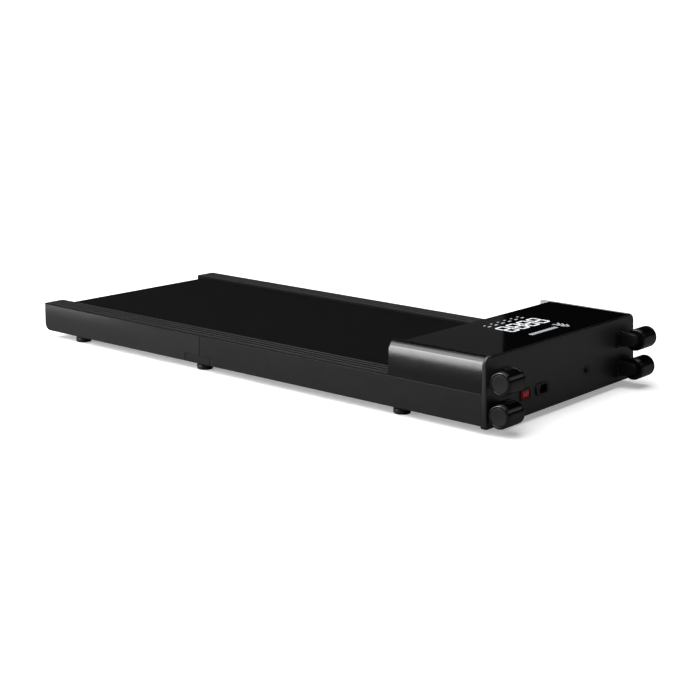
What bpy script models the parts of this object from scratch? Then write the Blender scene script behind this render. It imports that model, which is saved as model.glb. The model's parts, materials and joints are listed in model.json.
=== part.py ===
"""Flat walking treadmill with a low motor hood, built piece by piece.

Frame: +X towards the motor hood, +Y to the walker's left, +Z up. The origin lies on the floor under
the middle of the machine. Everything is in metres.
"""

import math

import bmesh
import bpy
from mathutils import Vector

# ---------------------------------------------------------------- driving dimensions
GAP = 0.0004                # air between neighbouring pieces
HALF_WIDTH = 0.260          # half of the overall width
REAR_X = -0.595             # rear end of the rails
FACE_X = 0.5510             # lower edge of the front face
FACE_LEAN = 0.0640          # how far the front face leans back for each metre of height
BAY_FRONT_X = 0.5382        # back plane of the front end cover
RAIL_BOTTOM_Z = 0.0170
FRONT_BOTTOM_Z = 0.0112     # the front cover hangs a little lower than the skirts
RAIL_TOP_Z = 0.0760
HOOD_TOP_Z = 0.1390
HOOD_ROUND = 0.015          # rounding along the hood's upper side edges
WALL = 0.003                # wall of the moulded covers

STRIP_INNER_Y = 0.208       # inner edge of the tread strips
STRIP_LIP = 0.0025          # thickness of the strips' inner lip
STRIP_UNDER_Z = 0.0732
SKIRT_TOP_Z = 0.0728
SKIRT_FLANGE_Y = 0.2465     # inner edge of the skirts' bottom flange
SEAM_X = -0.131             # joint between the rear and the front skirt
CLIP_X = (-0.1703, -0.1026)
CLIP_TOP_Z = 0.0330
JOINT = 0.0011              # visible joint between the skirts and beside the clip

BEAM_Y = (0.2140, 0.2540)
BEAM_Z = (0.0220, 0.0722)
BEAM_X = (-0.581, BAY_FRONT_X - GAP)
BEAM_WALL = 0.002
CROSS_TUBE_Z = (0.0360, 0.0530)
CROSS_TUBES = {"rear_cross_tube": -0.470, "middle_cross_tube": -0.144, "front_cross_tube": 0.325}
CROSS_TUBE_LENGTH = 0.040

BELT_HALF_WIDTH = 0.200
BELT_THICKNESS = 0.0018
BELT_INNER_TOP_Z = 0.0712
REAR_DRUM_X, REAR_DRUM_R = -0.5663, 0.0190
FRONT_DRUM_X, FRONT_DRUM_R = 0.3930, 0.0210
REAR_DRUM_Z = BELT_INNER_TOP_Z - GAP - REAR_DRUM_R
FRONT_DRUM_Z = BELT_INNER_TOP_Z - GAP - FRONT_DRUM_R
DRUM_HALF_LENGTH = 0.2032
REAR_AXLE_R, FRONT_AXLE_R = 0.0050, 0.0060
REAR_BEARING_R, FRONT_BEARING_R = 0.0130, 0.0140
BEARING_Y = (0.1925, 0.2005)
AXLE_HALF_LENGTH = 0.2360
BOLT_Y, BOLT_R = 0.2280, 0.0030

DECK_X = (-0.529, 0.361)
DECK_Z = (0.0588, 0.0708)
DECK_HALF_WIDTH = 0.2060

MOTOR_X, MOTOR_Z, MOTOR_R = 0.4905, 0.0780, 0.0330
MOTOR_PULLEY_R, FRONT_PULLEY_R = 0.0100, 0.0200
PULLEY_Y = (0.2040, 0.2130)
PULLEY_RIM = 0.0012
DRIVE_BELT_THICKNESS = 0.0022
MOUNT_PLATE_Z = (0.0240, 0.0270)
MOUNT_FLANGE_Y = (0.1602, 0.1632)

CHEEK_REAR_X = 0.3380
CHEEK_REAR_ROUND = 0.0030      # small rounding of the cheeks' rear ends
CHEEK_INNER_Y = 0.2450
HOOD_REAR_X = 0.3622
GLASS_Z = (0.1354, 0.1386)
WINDOW_X = (0.3900, 0.4780)
WINDOW_Y = (-0.0700, 0.0880)

FOOT_X = (-0.5057, -0.1440, 0.3490)
FOOT_Y, FOOT_R, FOOT_TOP_Z = 0.2300, 0.0160, 0.0216

SWITCH_Y, SWITCH_Z = -0.1370, 0.0520
ROCKER_AXIS_X = 0.5467
ROCKER_TILT = math.radians(8)
INLET_Y, INLET_Z = -0.0800, 0.0520
BREAKER_Y, BREAKER_Z = 0.0770, 0.0585

WHEEL_R = 0.0210
WHEEL_AXIS_X = FACE_X + 0.0230
WHEEL_Y = (0.2085, 0.2595)
WHEEL_Z = {"upper": 0.0965, "lower": 0.0390}
ARM_Y = (0.1990, 0.2081)
PIN_R, PIN_END_Y = 0.0042, 0.2550

SIDES = {"left": 1, "right": -1}


# ---------------------------------------------------------------- materials
def srgb(level):
    """Linear value of one 0-255 screen level."""
    value = level / 255
    return value / 12.92 if value <= 0.04045 else ((value + 0.055) / 1.055) ** 2.4


def material(name, colour, roughness, metallic=0.0):
    """Principled material from screen levels."""
    made = bpy.data.materials.new(name)
    made.use_nodes = True
    shader = made.node_tree.nodes["Principled BSDF"]
    shader.inputs["Base Color"].default_value = (*[srgb(level) for level in colour], 1.0)
    shader.inputs["Roughness"].default_value = roughness
    shader.inputs["Metallic"].default_value = metallic
    made.diffuse_color = shader.inputs["Base Color"].default_value
    return made


def make_materials():
    """Every finish on the machine, by slot name."""
    table = {
        "frame_steel": ((30, 30, 32), 0.45, 0.6),
        "bare_steel": ((150, 150, 152), 0.32, 1.0),
        "cover_plastic": ((52, 52, 54), 0.42, 0.0),
        "strip_plastic": ((45, 45, 47), 0.55, 0.0),
        "belt_rubber": ((20, 20, 21), 0.85, 0.0),
        "deck_board": ((58, 52, 46), 0.60, 0.0),
        "hood_plastic": ((44, 44, 46), 0.30, 0.0),
        "display_glass": ((6, 6, 7), 0.06, 0.0),
        "black_rubber": ((14, 14, 15), 0.50, 0.0),
        "black_plastic": ((20, 20, 21), 0.40, 0.0),
        "roller_plastic": ((16, 16, 17), 0.22, 0.0),
        "switch_red": ((190, 30, 44), 0.30, 0.0),
        "board_green": ((24, 74, 48), 0.45, 0.0),
        "heat_sink": ((120, 122, 125), 0.40, 1.0),
        "motor_shell": ((62, 63, 66), 0.38, 0.9),
    }
    return {name: material(name, *values) for name, values in table.items()}


# ---------------------------------------------------------------- solid modelling helpers
def face_x(z):
    """X of the leaning front face at height z."""
    return FACE_X - FACE_LEAN * (z - RAIL_BOTTOM_Z)


def loft(rings, closed=False):
    """Bmesh of one solid skinned over rings of equal length; a closed loft has no end caps."""
    mesh = bmesh.new()
    loops = [[mesh.verts.new(point) for point in ring] for ring in rings]
    pairs = list(zip(loops, loops[1:]))
    if closed:
        pairs.append((loops[-1], loops[0]))
    else:
        mesh.faces.new(loops[0])
        mesh.faces.new(loops[-1])
    count = len(loops[0])
    for first, second in pairs:
        for i in range(count):
            j = (i + 1) % count
            mesh.faces.new((first[i], first[j], second[j], second[i]))
    bmesh.ops.recalc_face_normals(mesh, faces=mesh.faces)
    return mesh


def across(axis, outline, at):
    """Place a flat outline at one position of an axis; the outline holds the other two, in X, Y, Z order."""
    if axis == "X":
        return [(at, a, b) for a, b in outline]
    if axis == "Y":
        return [(a, at, b) for a, b in outline]
    return [(a, b, at) for a, b in outline]


def prism(axis, outline, start, end):
    """Straight extrusion of an outline."""
    return loft([across(axis, outline, start), across(axis, outline, end)])


def rectangle(a, b):
    """Outline of the rectangle between two ranges."""
    return [(a[0], b[0]), (a[1], b[0]), (a[1], b[1]), (a[0], b[1])]


def block(x, y, z):
    """Rectangular solid between three ranges."""
    return prism("X", rectangle(y, z), *x)


def circle(centre, radius, count=32):
    """Round outline."""
    angles = [2 * math.pi * i / count for i in range(count)]
    return [(centre[0] + radius * math.cos(t), centre[1] + radius * math.sin(t)) for t in angles]


def hexagon(centre, apothem, count=24):
    """Six-sided outline with as many points as a round one."""
    points = []
    for i in range(count):
        t = 2 * math.pi * i / count
        radius = apothem / math.cos(t % (math.pi / 3) - math.pi / 6)
        points.append((centre[0] + radius * math.cos(t), centre[1] + radius * math.sin(t)))
    return points


def turned(axis, centre, profile, count=32, closed=False):
    """Solid of revolution from (position along the axis, radius) pairs."""
    return loft([across(axis, circle(centre, radius, count), at) for at, radius in profile], closed)


def arc(centre, radius, start, end, steps):
    """Points on an arc, angles in degrees, both ends included."""
    angles = [math.radians(start + (end - start) * i / steps) for i in range(steps + 1)]
    return [(centre[0] + radius * math.cos(t), centre[1] + radius * math.sin(t)) for t in angles]


def rounded(centre, half, radii, steps=5):
    """Rectangle outline whose two lower and two upper corners are rounded."""
    low, high = radii
    corners = ((1, 1, high, 0), (-1, 1, high, 90), (-1, -1, low, 180), (1, -1, low, 270))
    points = []
    for sx, sz, radius, start in corners:
        middle = (centre[0] + sx * (half[0] - radius), centre[1] + sz * (half[1] - radius))
        points += arc(middle, radius, start, start + 90, steps)
    return points


def on_face(outline, offset):
    """Ring that follows the leaning front face at a distance."""
    return [(face_x(z) + offset, y, z) for y, z in outline]


def pulley_loop(first, first_radius, second, second_radius, steps=14):
    """Outline of a belt's inner or outer line around two rounds, in the XZ plane."""
    span = Vector(second) - Vector(first)
    heading = math.degrees(math.atan2(span.y, span.x))
    spread = math.degrees(math.acos((first_radius - second_radius) / span.length))
    loop = arc(first, first_radius, heading + spread, heading + 360 - spread, steps)
    return loop + arc(second, second_radius, heading - spread, heading + spread, steps)


def band(first, first_radius, second, second_radius, thickness, y):
    """Endless flat belt around two rounds."""
    inner = pulley_loop(first, first_radius, second, second_radius)
    outer = pulley_loop(first, first_radius + thickness, second, second_radius + thickness)
    rings = [across("Y", outer, y[0]), across("Y", outer, y[1])]
    rings += [across("Y", inner, y[1]), across("Y", inner, y[0])]
    return loft(rings, closed=True)


def piece(name, mesh, slot, origin=(0, 0, 0), bevel=0.0):
    """Turn a bmesh into a named object whose origin sits at the given point."""
    data = bpy.data.meshes.new(name)
    bmesh.ops.translate(mesh, verts=mesh.verts, vec=-Vector(origin))
    mesh.to_mesh(data)
    mesh.free()
    data.materials.append(bpy.data.materials[slot])
    for polygon in data.polygons:
        polygon.use_smooth = True
    data.set_sharp_from_angle(angle=math.radians(32))
    made = bpy.data.objects.new(name, data)
    made.location = origin
    bpy.context.collection.objects.link(made)
    if bevel:
        modifier = made.modifiers.new("soft_edge", "BEVEL")
        modifier.width = bevel
        modifier.segments = 1
        modifier.limit_method = "ANGLE"
        modifier.angle_limit = math.radians(50)
    return made


def reshape(target, label, mesh, operation="DIFFERENCE"):
    """Cut a tool shape out of a piece, or grow the piece by it."""
    data = bpy.data.meshes.new(label)
    mesh.to_mesh(data)
    mesh.free()
    tool = bpy.data.objects.new(f"tool_{target.name}_{label}", data)
    tool.hide_render = True
    tool.display_type = "WIRE"
    bpy.context.collection.objects.link(tool)
    modifier = target.modifiers.new(label, "BOOLEAN")
    modifier.operation = operation
    modifier.solver = "EXACT"
    modifier.object = tool
    return target


def sided(side, a, b):
    """Range of Y on one side of the machine."""
    return (side * a, side * b)


# ---------------------------------------------------------------- frame
def make_beams():
    """Box beams under the tread strips, closed at the rear where the tension bolts pull."""
    for label, side in SIDES.items():
        outer = rectangle(sided(side, *BEAM_Y), BEAM_Z)
        inner_y = (BEAM_Y[0] + BEAM_WALL, BEAM_Y[1] - BEAM_WALL)
        inner_z = (BEAM_Z[0] + BEAM_WALL, BEAM_Z[1] - BEAM_WALL)
        inner = rectangle(sided(side, *inner_y), inner_z)
        rings = [across("X", outer, BEAM_X[0]), across("X", outer, BEAM_X[1])]
        rings += [across("X", inner, BEAM_X[1]), across("X", inner, BEAM_X[0] + WALL)]
        beam = piece(f"{label}_frame_beam", loft(rings), "frame_steel")
        through = sided(side, BEAM_Y[0] - 0.003, BEAM_Y[0] + 0.003)
        slot_x = (REAR_DRUM_X - 0.009, REAR_DRUM_X + 0.014)
        slot_z = (REAR_DRUM_Z - 0.0056, REAR_DRUM_Z + 0.0056)
        reshape(beam, "axle_slot", block(slot_x, through, slot_z))
        hole = [(y, FRONT_AXLE_R + 0.0005) for y in through]
        reshape(beam, "axle_hole", turned("Y", (FRONT_DRUM_X, FRONT_DRUM_Z), hole, 24))
        bolt = [(BEAM_X[0] + x, BOLT_R + 0.0005) for x in (-0.003, 0.008)]
        reshape(beam, "bolt_hole", turned("X", (side * BOLT_Y, REAR_DRUM_Z), bolt, 24))


def make_cross_tubes():
    """Flat tubes that tie the two beams together under the deck."""
    for name, x in CROSS_TUBES.items():
        half = CROSS_TUBE_LENGTH / 2
        outer = rectangle((x - half, x + half), CROSS_TUBE_Z)
        inner_z = (CROSS_TUBE_Z[0] + BEAM_WALL, CROSS_TUBE_Z[1] - BEAM_WALL)
        inner = rectangle((x - half + BEAM_WALL, x + half - BEAM_WALL), inner_z)
        end = BEAM_Y[0] - GAP
        rings = [across("Y", outer, -end), across("Y", outer, end)]
        rings += [across("Y", inner, end), across("Y", inner, -end)]
        piece(name, loft(rings, closed=True), "frame_steel")


def make_deck():
    """Board that the walker's weight lands on, with two long rubber cushions under it."""
    half = (-DECK_HALF_WIDTH, DECK_HALF_WIDTH)
    piece("walking_deck", block(DECK_X, half, DECK_Z), "deck_board", bevel=0.0015)
    for label, side in SIDES.items():
        x = (CROSS_TUBES["rear_cross_tube"] - 0.015, CROSS_TUBES["front_cross_tube"] + 0.015)
        z = (CROSS_TUBE_Z[1] + GAP, DECK_Z[0] - GAP)
        piece(f"{label}_deck_cushion", block(x, sided(side, 0.145, 0.170), z), "black_rubber")


# ---------------------------------------------------------------- belt and rollers
def make_running_belt():
    """Endless belt around the two drums."""
    rear, front = (REAR_DRUM_X, REAR_DRUM_Z), (FRONT_DRUM_X, FRONT_DRUM_Z)
    radii = (REAR_DRUM_R + GAP, FRONT_DRUM_R + GAP)
    width = (-BELT_HALF_WIDTH, BELT_HALF_WIDTH)
    mesh = band(rear, radii[0], front, radii[1], BELT_THICKNESS, width)
    piece("running_belt", mesh, "belt_rubber")


def make_drum(name, x, z, radius, axle_radius, bearing_radius):
    """One drum on its axle, with a ball bearing at each end."""
    centre, origin = (x, z), (x, 0, z)
    ends = (-DRUM_HALF_LENGTH, DRUM_HALF_LENGTH)
    tube = [(ends[0], radius), (ends[1], radius)]
    tube += [(ends[1], bearing_radius + GAP), (ends[0], bearing_radius + GAP)]
    piece(f"{name}_drum", turned("Y", centre, tube, 40, closed=True), "bare_steel", origin)
    axle = [(-AXLE_HALF_LENGTH, axle_radius), (AXLE_HALF_LENGTH, axle_radius)]
    shaft = piece(f"{name}_axle", turned("Y", centre, axle, 24), "bare_steel")
    for label, side in SIDES.items():
        start, end = sided(side, *BEARING_Y)
        ring = [(start, bearing_radius), (end, bearing_radius)]
        ring += [(end, axle_radius + GAP), (start, axle_radius + GAP)]
        bearing = turned("Y", centre, ring, 24, closed=True)
        piece(f"{label}_{name}_bearing", bearing, "bare_steel")
    return shaft


def make_drums():
    """Rear drum with its tension bolts, and the driven front drum."""
    shaft = make_drum("rear_roller", REAR_DRUM_X, REAR_DRUM_Z, REAR_DRUM_R, REAR_AXLE_R, REAR_BEARING_R)
    for label, side in SIDES.items():
        centre = (side * BOLT_Y, REAR_DRUM_Z)
        hole = [(REAR_DRUM_X + x, BOLT_R + 0.0005) for x in (-0.010, 0.010)]
        reshape(shaft, f"{label}_cross_hole", turned("X", centre, hole, 24))
        head_x = (BEAM_X[0] - 0.0060, BEAM_X[0] - 0.0006)
        rings = [across("X", hexagon(centre, 0.0050), x) for x in head_x]
        rings += [across("X", circle(centre, BOLT_R, 24), x) for x in (head_x[1], REAR_DRUM_X + 0.0135)]
        piece(f"{label}_tension_bolt", loft(rings), "bare_steel")
    make_drum("front_roller", FRONT_DRUM_X, FRONT_DRUM_Z, FRONT_DRUM_R, FRONT_AXLE_R, FRONT_BEARING_R)


def pulley_profile(radius):
    """Rim, belt seat and rim of a flanged pulley."""
    seat = (PULLEY_Y[0] + PULLEY_RIM, PULLEY_Y[1] - PULLEY_RIM)
    rim = radius + 0.0013
    profile = [(PULLEY_Y[0], rim), (seat[0], rim), (seat[0], radius)]
    return profile + [(seat[1], radius), (seat[1], rim), (PULLEY_Y[1], rim)]


def make_drive():
    """Motor on its bracket, with the pulleys and the belt that turn the front drum."""
    front = (FRONT_DRUM_X, FRONT_DRUM_Z)
    motor = (MOTOR_X, MOTOR_Z)
    bore = FRONT_AXLE_R + GAP
    profile = pulley_profile(FRONT_PULLEY_R) + [(PULLEY_Y[1], bore), (PULLEY_Y[0], bore)]
    mesh = turned("Y", front, profile, 40, closed=True)
    piece("front_roller_pulley", mesh, "black_plastic", (FRONT_DRUM_X, 0, FRONT_DRUM_Z))

    shaft = [(0.1490, 0.0040), (PULLEY_Y[0], 0.0040)]
    mesh = turned("Y", motor, shaft + pulley_profile(MOTOR_PULLEY_R), 24)
    piece("motor_pulley", mesh, "bare_steel", (MOTOR_X, 0, MOTOR_Z))

    seat = (PULLEY_Y[0] + PULLEY_RIM + GAP, PULLEY_Y[1] - PULLEY_RIM - GAP)
    radii = (FRONT_PULLEY_R + GAP, MOTOR_PULLEY_R + GAP)
    mesh = band(front, radii[0], motor, radii[1], DRIVE_BELT_THICKNESS, seat)
    piece("drive_belt", mesh, "black_rubber")

    end = MOUNT_FLANGE_Y[0] - GAP
    body = [(0.0450, 0.0280), (0.0500, MOTOR_R), (end - 0.0030, MOTOR_R), (end, 0.0300)]
    body += [(end, 0.0070), (0.1480, 0.0070)]
    piece("drive_motor", turned("Y", motor, body, 40), "motor_shell")

    across_bay = (-BEAM_Y[0] + GAP, BEAM_Y[0] - GAP)
    plate = block((0.424, 0.535), across_bay, MOUNT_PLATE_Z)
    mount = piece("motor_mount_plate", plate, "frame_steel")
    flange = block((MOTOR_X - 0.038, MOTOR_X + 0.038), MOUNT_FLANGE_Y, (MOUNT_PLATE_Z[0] + 0.001, 0.1120))
    reshape(mount, "flange", flange, "UNION")
    hole = [(MOUNT_FLANGE_Y[0] - 0.002, 0.0080), (MOUNT_FLANGE_Y[1] + 0.002, 0.0080)]
    reshape(mount, "shaft_hole", turned("Y", motor, hole, 24))


def make_electronics():
    """Finned motor controller on the bay floor, and the display board under its window."""
    base_z, fin_z = MOUNT_PLATE_Z[1] + GAP, 0.0580
    start, pitch, fin, count = -0.190, 0.0225, 0.006, 7
    comb = []
    for i in range(count):
        y = start + pitch * i
        comb += [(y, fin_z), (y + fin, fin_z)]
        if i < count - 1:
            comb += [(y + fin, base_z + 0.006), (y + pitch, base_z + 0.006)]
    comb += [(start + pitch * (count - 1) + fin, base_z), (start, base_z)]
    piece("motor_controller", prism("X", comb, 0.4255, 0.5135), "heat_sink")
    x = (WINDOW_X[0] - 0.004, WINDOW_X[1] + 0.004)
    y = (WINDOW_Y[0] - 0.006, WINDOW_Y[1] + 0.006)
    piece("led_display_board", block(x, y, (0.1300, 0.1316)), "board_green")


# ---------------------------------------------------------------- rail covers and feet
def skirt_outline(side, top_z):
    """L-shaped section of a rail skirt: outer wall and bottom flange."""
    outer, inner = HALF_WIDTH, HALF_WIDTH - WALL
    floor = RAIL_BOTTOM_Z + WALL
    points = [(outer, RAIL_BOTTOM_Z), (outer, top_z), (inner, top_z), (inner, floor)]
    points += [(SKIRT_FLANGE_Y, floor), (SKIRT_FLANGE_Y, RAIL_BOTTOM_Z)]
    return [(side * y, z) for y, z in points]


def make_rails():
    """Skirts, the small clip that bridges them, and the strip to stand on, for each side."""
    for label, side in SIDES.items():
        section = skirt_outline(side, SKIRT_TOP_Z)
        whole_y = sided(side, STRIP_INNER_Y + STRIP_LIP + GAP, HALF_WIDTH)
        past_y = sided(side, STRIP_INNER_Y - 0.01, HALF_WIDTH + 0.01)
        clip_z = (RAIL_BOTTOM_Z - 0.01, CLIP_TOP_Z + GAP)

        rear = piece(f"{label}_rear_skirt", prism("X", section, REAR_X, SEAM_X - JOINT / 2), "cover_plastic")
        end_wall = block((REAR_X, REAR_X + WALL), whole_y, (RAIL_BOTTOM_Z, SKIRT_TOP_Z))
        reshape(rear, "end_wall", end_wall, "UNION")
        corner = (REAR_X + HOOD_ROUND, RAIL_BOTTOM_Z + HOOD_ROUND)
        side_view = arc(corner, HOOD_ROUND, 180, 270, 8)
        side_view += [(SEAM_X + 0.01, RAIL_BOTTOM_Z), (SEAM_X + 0.01, SKIRT_TOP_Z), (REAR_X, SKIRT_TOP_Z)]
        reshape(rear, "round_corner", prism("Y", side_view, *past_y), "INTERSECT")
        access = [(REAR_X - 0.002, 0.0068), (REAR_X + WALL + 0.002, 0.0068)]
        reshape(rear, "bolt_access", turned("X", (side * BOLT_Y, REAR_DRUM_Z), access, 24))
        reshape(rear, "clip_notch", block((CLIP_X[0] - JOINT, SEAM_X + 0.01), past_y, clip_z))

        mesh = prism("X", section, SEAM_X + JOINT / 2, BAY_FRONT_X - GAP)
        front = piece(f"{label}_front_skirt", mesh, "cover_plastic")
        reshape(front, "clip_notch", block((SEAM_X - 0.01, CLIP_X[1] + JOINT), past_y, clip_z))

        clip = prism("X", skirt_outline(side, CLIP_TOP_Z), *CLIP_X)
        piece(f"{label}_skirt_clip", clip, "cover_plastic")

        lip = STRIP_INNER_Y + STRIP_LIP
        points = [(STRIP_INNER_Y, 0.0600), (lip, 0.0600), (lip, STRIP_UNDER_Z)]
        points += [(HALF_WIDTH, STRIP_UNDER_Z), (HALF_WIDTH, RAIL_TOP_Z - 0.0012)]
        points += [(HALF_WIDTH - 0.0012, RAIL_TOP_Z), (STRIP_INNER_Y + 0.0012, RAIL_TOP_Z)]
        points += [(STRIP_INNER_Y, RAIL_TOP_Z - 0.0012)]
        section = [(side * y, z) for y, z in points]
        strip = piece(f"{label}_tread_strip", prism("X", section, REAR_X, HOOD_REAR_X - GAP), "strip_plastic")
        notch_y = sided(side, CHEEK_INNER_Y - GAP, HALF_WIDTH + 0.01)
        notch = block((CHEEK_REAR_X - GAP, HOOD_REAR_X + 0.01), notch_y, (0.060, 0.080))
        reshape(strip, "cheek_notch", notch)


def make_feet():
    """Three rubber feet under each beam."""
    profile = [(0.0, FOOT_R - 0.0018), (0.0018, FOOT_R), (0.0105, FOOT_R)]
    profile += [(0.0125, 0.0120), (FOOT_TOP_Z, 0.0105)]
    for label, side in SIDES.items():
        for place, x in zip(("rear", "middle", "front"), FOOT_X):
            mesh = turned("Z", (x, side * FOOT_Y), profile, 24)
            piece(f"{label}_{place}_foot", mesh, "black_rubber")


# ---------------------------------------------------------------- hood
def cheek_ring(side, x, top_z, inset=0.0, inner_y=CHEEK_INNER_Y, low_z=STRIP_UNDER_Z):
    """Section of a hood cheek at one x: straight inside, rounded outer top."""
    radius = HOOD_ROUND - inset
    outer = HALF_WIDTH - inset
    points = [(inner_y, low_z), (outer, low_z)]
    points += arc((outer - radius, top_z - inset - radius), radius, 0, 90, 7)
    if inner_y < outer - radius:
        points.append((inner_y, top_z - inset))
    return [(x, side * y, z) for y, z in points]


def make_cheeks():
    """Side cheeks of the hood, rounded along the top, softened at the rear end and hollow inside."""
    steps = 3
    for label, side in SIDES.items():
        rings = []
        for i in range(steps + 1):
            t = math.radians(90 * i / steps)
            x = CHEEK_REAR_X + CHEEK_REAR_ROUND * (1 - math.cos(t))
            rings.append(cheek_ring(side, x, HOOD_TOP_Z - CHEEK_REAR_ROUND * (1 - math.sin(t))))
        rings.append(cheek_ring(side, BAY_FRONT_X - GAP, HOOD_TOP_Z))
        cheek = piece(f"{label}_hood_cheek", loft(rings), "hood_plastic")
        start, end = HOOD_REAR_X + 0.003, BAY_FRONT_X + 0.01
        hollow = [cheek_ring(side, x, HOOD_TOP_Z, WALL, CHEEK_INNER_Y - 0.005, 0.060) for x in (start, end)]
        reshape(cheek, "hollow", loft(hollow))


def make_hood():
    """Hood box over the motor bay, and the glass panel that lies in its top."""
    half = CHEEK_INNER_Y - 0.0006
    top_z = GLASS_Z[0] - GAP
    shell = block((HOOD_REAR_X, BAY_FRONT_X - GAP), (-half, half), (STRIP_UNDER_Z, top_z))
    hood = piece("hood_top_cover", shell, "black_plastic")
    inside = half - WALL
    hollow_x = (HOOD_REAR_X + WALL, BAY_FRONT_X + 0.01)
    reshape(hood, "hollow", block(hollow_x, (-inside, inside), (0.050, top_z - WALL)))
    belt_slot_x = (HOOD_REAR_X - 0.01, HOOD_REAR_X + WALL + 0.002)
    reshape(hood, "belt_slot", block(belt_slot_x, (-0.2070, 0.2070), (0.050, RAIL_TOP_Z)))
    reshape(hood, "window", block(WINDOW_X, WINDOW_Y, (top_z - 0.01, top_z + 0.01)))
    glass_x = (HOOD_REAR_X - 0.0005, face_x(GLASS_Z[1]) - 0.0004)
    glass = block(glass_x, (-0.2430, 0.2430), GLASS_Z)
    piece("display_glass", glass, "display_glass", bevel=0.0008)


def make_front_cover():
    """Leaning front end cover, a shallow tray with a softened rim and openings for the fittings."""
    centre = (0.0, (FRONT_BOTTOM_Z + HOOD_TOP_Z) / 2)
    half = (HALF_WIDTH, (HOOD_TOP_Z - FRONT_BOTTOM_Z) / 2)

    def outline(inset):
        shrunk = (half[0] - inset, half[1] - inset)
        return rounded(centre, shrunk, (0.006 - inset / 2, HOOD_ROUND - inset), 6)

    rings = [on_face(outline(0.0040), 0.0), on_face(outline(0.0012), -0.0012), on_face(outline(0.0), -0.0040)]
    rings += [across("X", outline(0.0), BAY_FRONT_X), across("X", outline(WALL), BAY_FRONT_X)]
    rings.append(on_face(outline(WALL), -WALL))
    cover = piece("front_end_cover", loft(rings), "hood_plastic")
    span = (BAY_FRONT_X - 0.005, FACE_X + 0.005)
    seat_y = (-0.2430 - GAP, 0.2430 + GAP)
    reshape(cover, "glass_seat", block(span, seat_y, (GLASS_Z[0] - GAP, HOOD_TOP_Z + 0.01)))
    openings = {"switch": rectangle((SWITCH_Y - 0.0152, SWITCH_Y + 0.0152), (SWITCH_Z - 0.0086, SWITCH_Z + 0.0086)),
                "inlet": rectangle((INLET_Y - 0.0140, INLET_Y + 0.0140), (INLET_Z - 0.0100, INLET_Z + 0.0100)),
                "breaker": circle((BREAKER_Y, BREAKER_Z), 0.0058, 24)}
    for label, shape in openings.items():
        reshape(cover, f"{label}_opening", prism("X", shape, *span))


def make_belly_pan():
    """Floor of the motor bay."""
    edge = SKIRT_FLANGE_Y - GAP
    z = (RAIL_BOTTOM_Z, RAIL_BOTTOM_Z + 0.002)
    piece("belly_pan", block((0.420, BAY_FRONT_X - GAP), (-edge, edge), z), "black_plastic")


# ---------------------------------------------------------------- fittings on the front face
def make_switch():
    """Mains rocker switch in its bezel; the rocker tips about an upright axis."""
    centre = (SWITCH_Y, SWITCH_Z)
    sleeve = rounded(centre, (0.0148, 0.0082), (0.0008, 0.0008), 2)
    rim = rounded(centre, (0.0172, 0.0104), (0.0015, 0.0015), 2)
    mouth = rounded(centre, (0.0135, 0.0072), (0.0006, 0.0006), 2)
    rings = [across("X", sleeve, 0.5252), on_face(sleeve, GAP), on_face(rim, GAP)]
    rings += [on_face(rim, 0.0018), on_face(mouth, 0.0018), across("X", mouth, 0.5272)]
    piece("switch_bezel", loft(rings), "black_plastic")

    shape = [(-0.0045, -0.0095), (0.0042, -0.0120), (0.0026, -0.0060), (0.0020, 0.0)]
    shape += [(x, -y) for x, y in reversed(shape[:3])]
    cosine, sine = math.cos(ROCKER_TILT), math.sin(ROCKER_TILT)
    outline = [(ROCKER_AXIS_X + x * cosine - y * sine, SWITCH_Y + x * sine + y * cosine) for x, y in shape]
    mesh = prism("Z", outline, SWITCH_Z - 0.0067, SWITCH_Z + 0.0067)
    piece("switch_rocker", mesh, "switch_red", (ROCKER_AXIS_X, SWITCH_Y, SWITCH_Z), bevel=0.0005)


def make_inlet():
    """Mains inlet: flanged socket with three blades inside."""
    centre = (INLET_Y, INLET_Z)
    body = rounded(centre, (0.0135, 0.0095), (0.0010, 0.0040), 5)
    flange = rounded(centre, (0.0230, 0.0112), (0.0107, 0.0107), 5)
    mouth = rounded(centre, (0.0121, 0.0080), (0.0010, 0.0035), 5)
    floor_x = 0.5332
    rings = [across("X", body, 0.5232), on_face(body, GAP), on_face(flange, GAP)]
    rings += [on_face(flange, 0.0026), on_face(mouth, 0.0026), across("X", mouth, floor_x)]
    inlet = piece("power_inlet", loft(rings), "black_plastic")
    for label, dy, dz in (("line", -0.0070, -0.0020), ("neutral", 0.0070, -0.0020), ("earth", 0.0, 0.0020)):
        y = (INLET_Y + dy - 0.0010, INLET_Y + dy + 0.0010)
        z = (INLET_Z + dz - 0.0020, INLET_Z + dz + 0.0020)
        reshape(inlet, f"{label}_blade", block((floor_x - 0.002, 0.5437), y, z), "UNION")


def make_breaker():
    """Overload breaker: threaded barrel with a nut, and its push-to-reset button."""
    centre = (BREAKER_Y, BREAKER_Z)
    barrel, nut, bore = circle(centre, 0.0054, 24), circle(centre, 0.0075, 24), circle(centre, 0.0034, 24)
    rings = [across("X", barrel, 0.5242), on_face(barrel, GAP), on_face(nut, GAP)]
    rings += [on_face(nut, 0.0028), on_face(bore, 0.0028), across("X", bore, 0.5382)]
    piece("breaker_body", loft(rings), "black_plastic")
    push = [(0.5422, 0.0030), (0.5528, 0.0030), (0.5534, 0.0024)]
    piece("breaker_button", turned("X", centre, push, 24), "black_plastic", (0.5422, BREAKER_Y, BREAKER_Z))


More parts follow.
